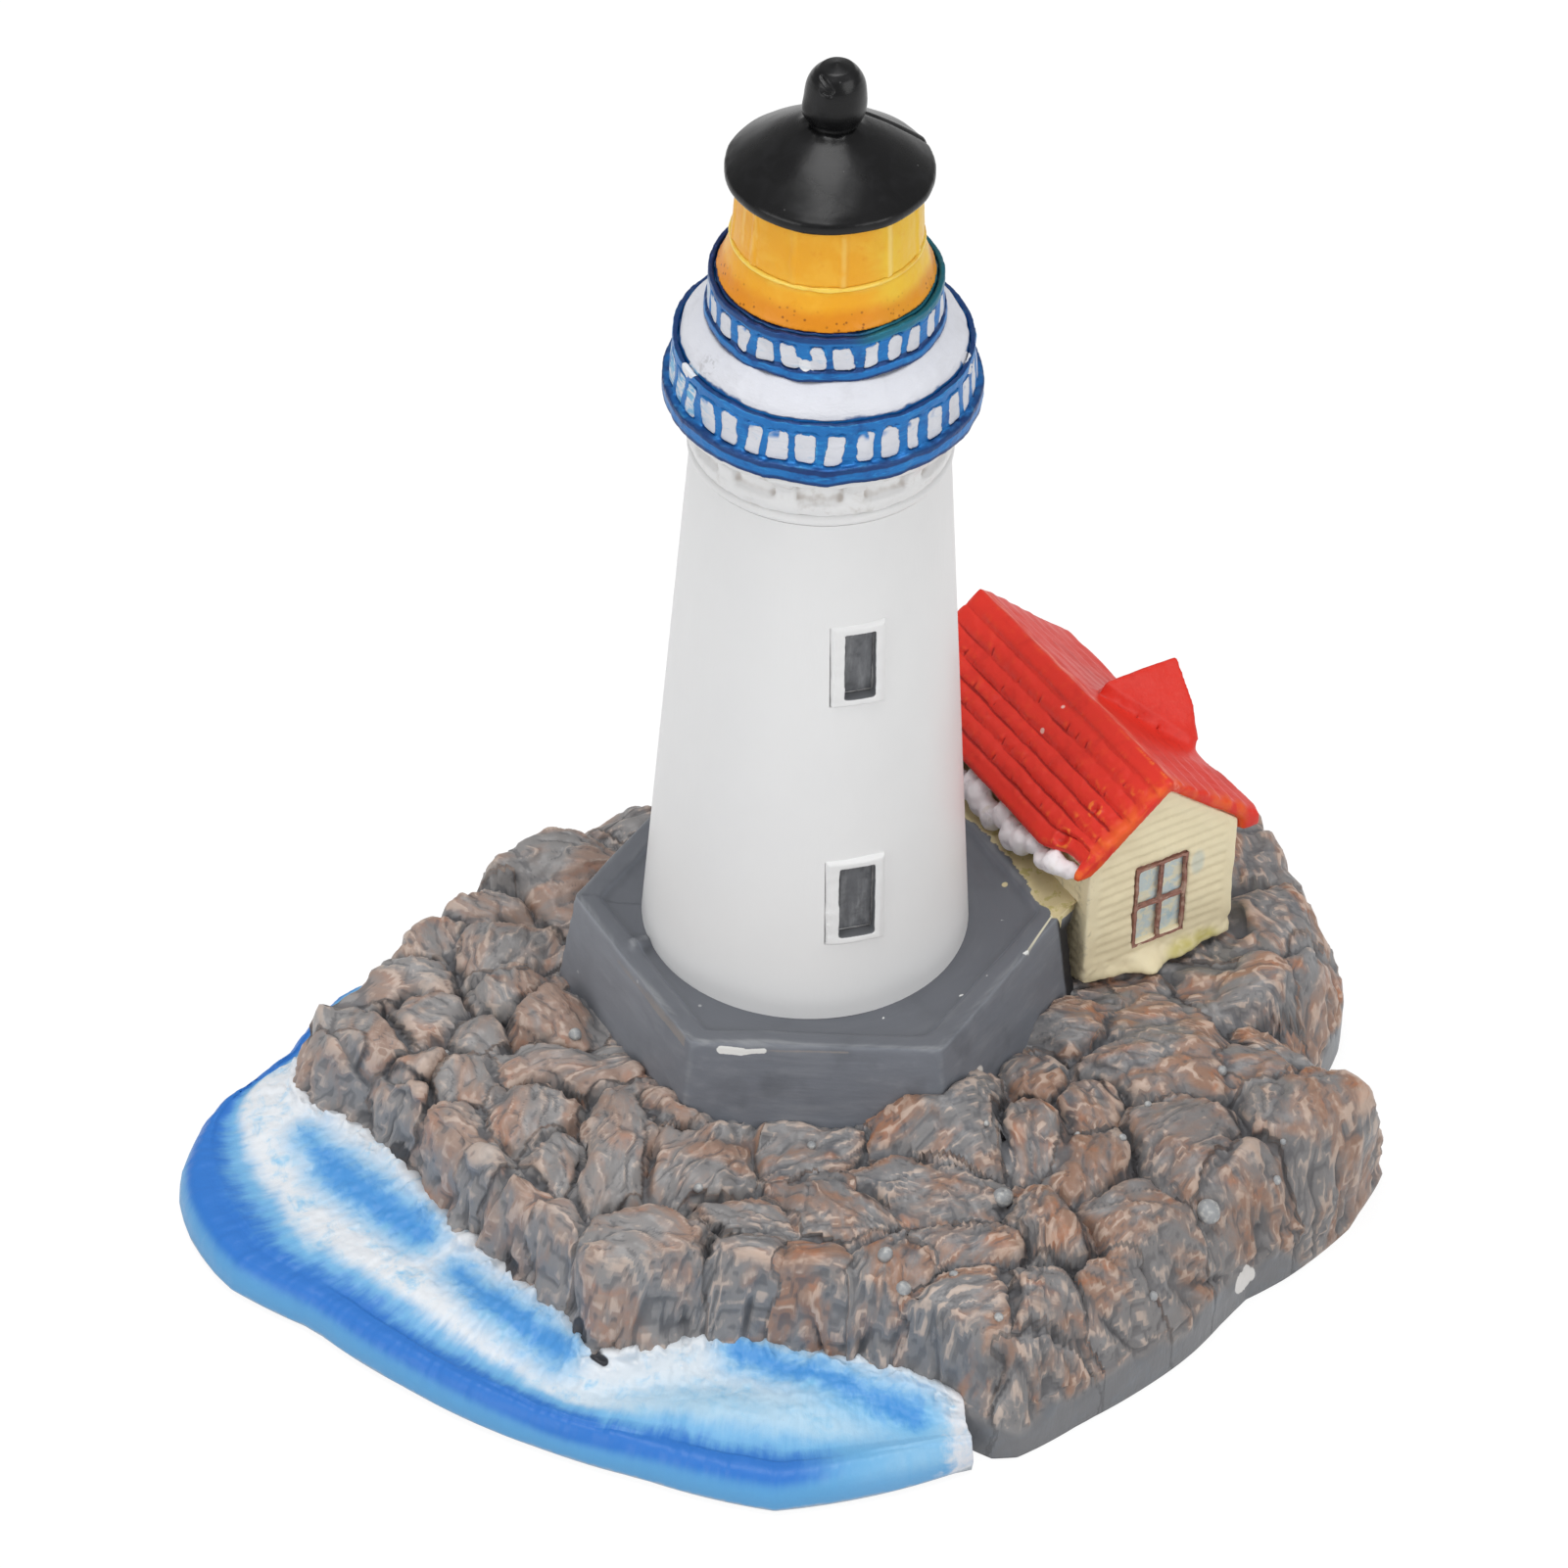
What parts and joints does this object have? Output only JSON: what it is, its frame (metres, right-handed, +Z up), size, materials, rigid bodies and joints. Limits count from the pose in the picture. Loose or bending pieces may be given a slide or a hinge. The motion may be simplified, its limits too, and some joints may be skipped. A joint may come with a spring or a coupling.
{
  "type": "lighthouse figurine",
  "caption": "Small painted lighthouse ornament: a white tapered tower with railed galleries and amber lantern on a rock island with a cottage and painted sea.",
  "frame": {"origin": "centre of the tower's axis on the flat underside that rests on the table", "axes": "+Z up along the tower; the two tower windows and the sea look towards -Y; the cottage lies towards +X"},
  "size_m": [0.092, 0.0798, 0.0968],
  "materials": {
    "rock": "matte grey paint dry-brushed with copper brown",
    "sea_paint": "satin blue and white brush-painted resin",
    "plinth_grey": "satin grey paint",
    "tower_white": "satin white paint",
    "window_grey": "satin dark grey paint",
    "rail_blue": "glossy blue paint",
    "amber": "glossy amber paint",
    "yellow_line": "glossy yellow paint line",
    "black_gloss": "glossy black paint",
    "cottage_cream": "satin cream paint",
    "roof_red": "satin red paint with orange edges",
    "window_brown": "thin brown paint",
    "pane_pale": "pale blue-green paint",
    "plaster_white": "rough white paint"
  },
  "bodies": {
    "root": {"rock_island": "rock", "sea_apron": "sea_paint", "plinth": "plinth_grey", "tower": "tower_white", "lower_window_frame": "tower_white", "lower_window_pane": "window_grey", "upper_window_frame": "tower_white", "upper_window_pane": "window_grey", "corbel_ring": "tower_white", "gallery_drum": "tower_white", "gallery_railing": "rail_blue", "watch_drum": "tower_white", "watch_railing": "rail_blue", "lantern_base": "amber", "lantern_sill": "yellow_line", "lantern_glazing": "amber", "lantern_roof": "black_gloss", "vent_ball": "black_gloss", "cottage_walls": "cottage_cream", "cottage_roof": "roof_red", "cross_gable": "roof_red", "cross_gable_wall": "cottage_cream", "cottage_window_frame": "window_brown", "cottage_window_panes": "pane_pale", "eave_plaster": "plaster_white"}
  },
  "joints": []
}
